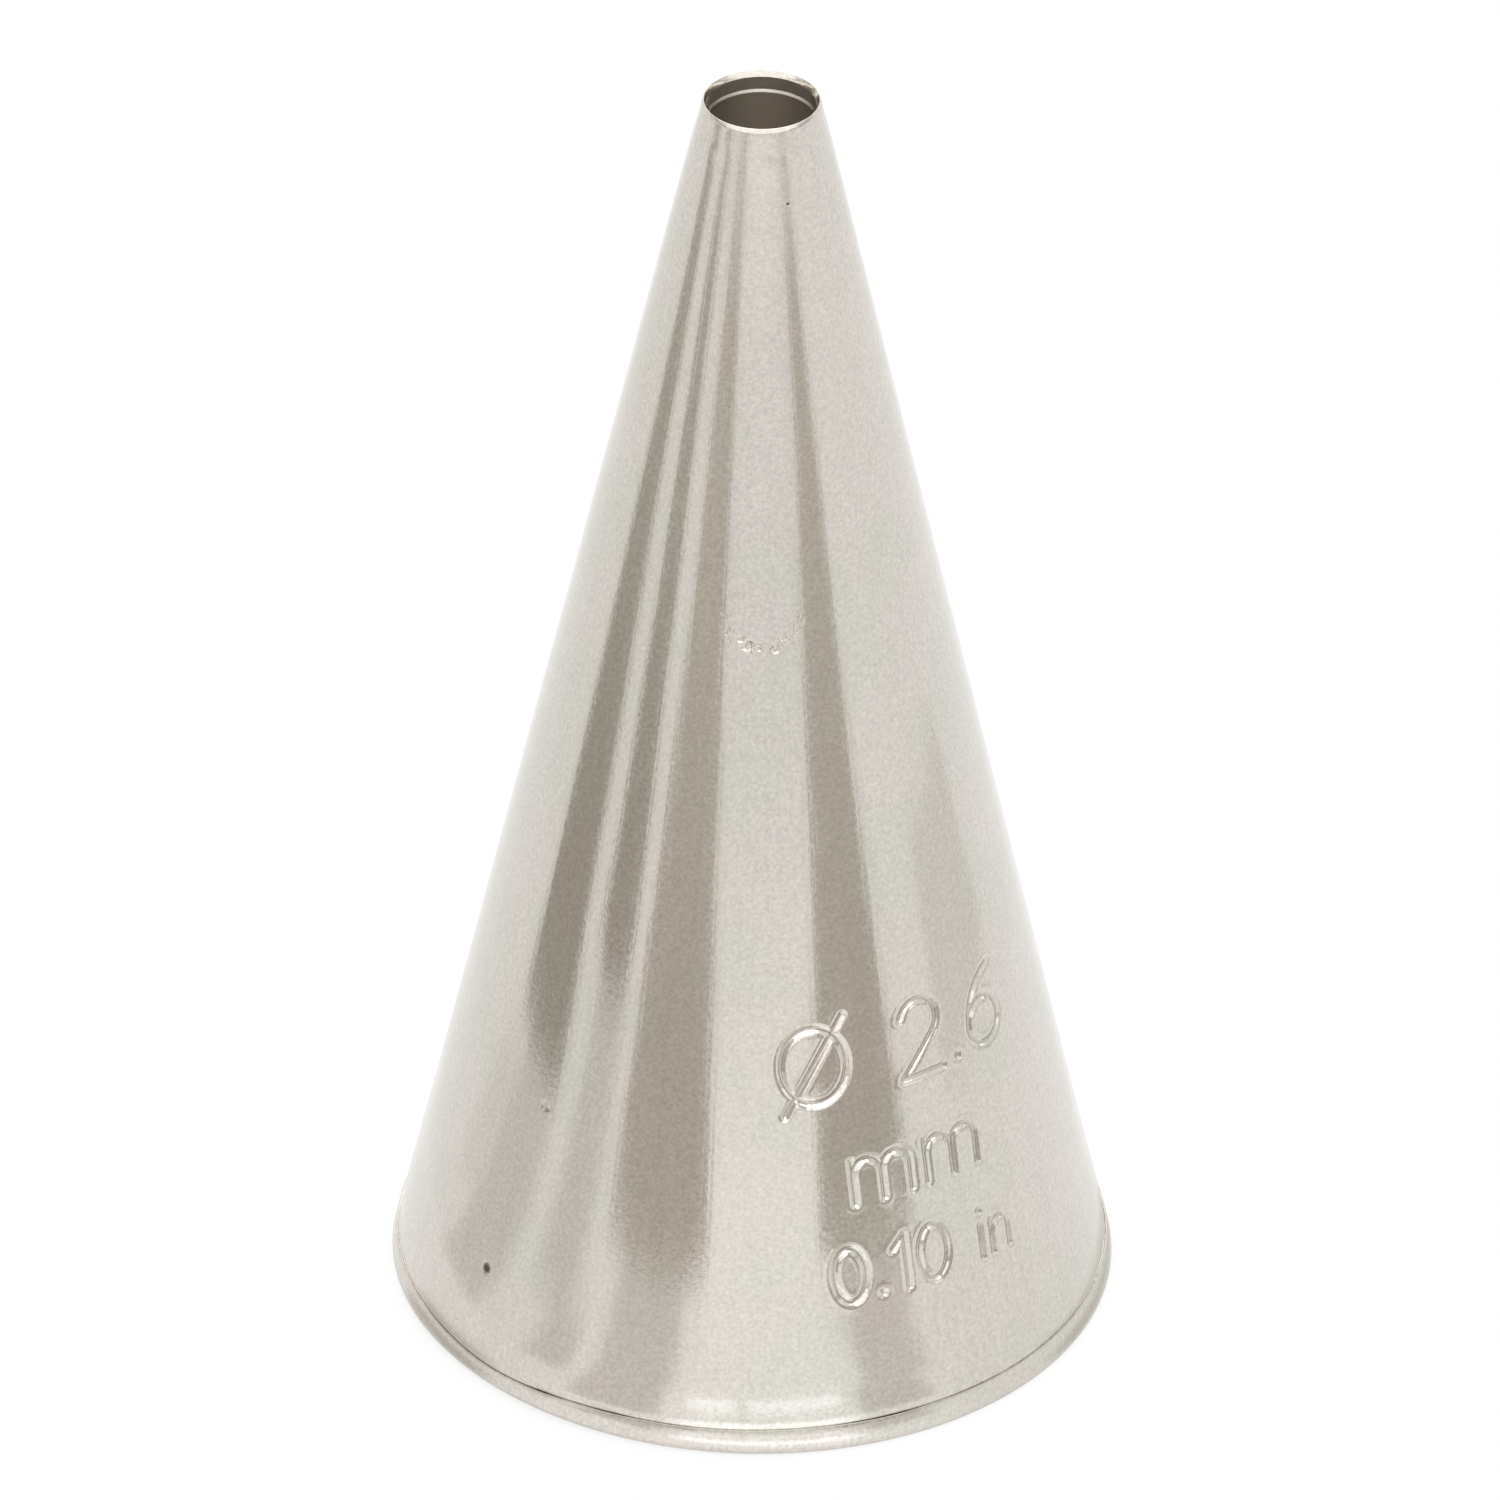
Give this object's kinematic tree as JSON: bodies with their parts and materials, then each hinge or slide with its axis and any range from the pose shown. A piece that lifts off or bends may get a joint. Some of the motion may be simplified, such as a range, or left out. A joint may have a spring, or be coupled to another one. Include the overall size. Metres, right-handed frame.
{
  "type": "piping nozzle",
  "caption": "Small conical steel piping nozzle with a round mouth, a folded hem at the wide open base and a welded seam; shapes icing or cream into a round line.",
  "frame": {"origin": "centre of the base on the surface that the hem stands on", "axes": "+Z along the cone's axis, from the wide base to the mouth; +X to the right and +Y away in the picture"},
  "size_m": [0.0174, 0.0174, 0.0333],
  "materials": {
    "rolled_steel": "satin",
    "weld_steel": "satin"
  },
  "bodies": {
    "root": {"cone_shell": "rolled_steel", "seam_weld": "weld_steel"}
  },
  "joints": []
}
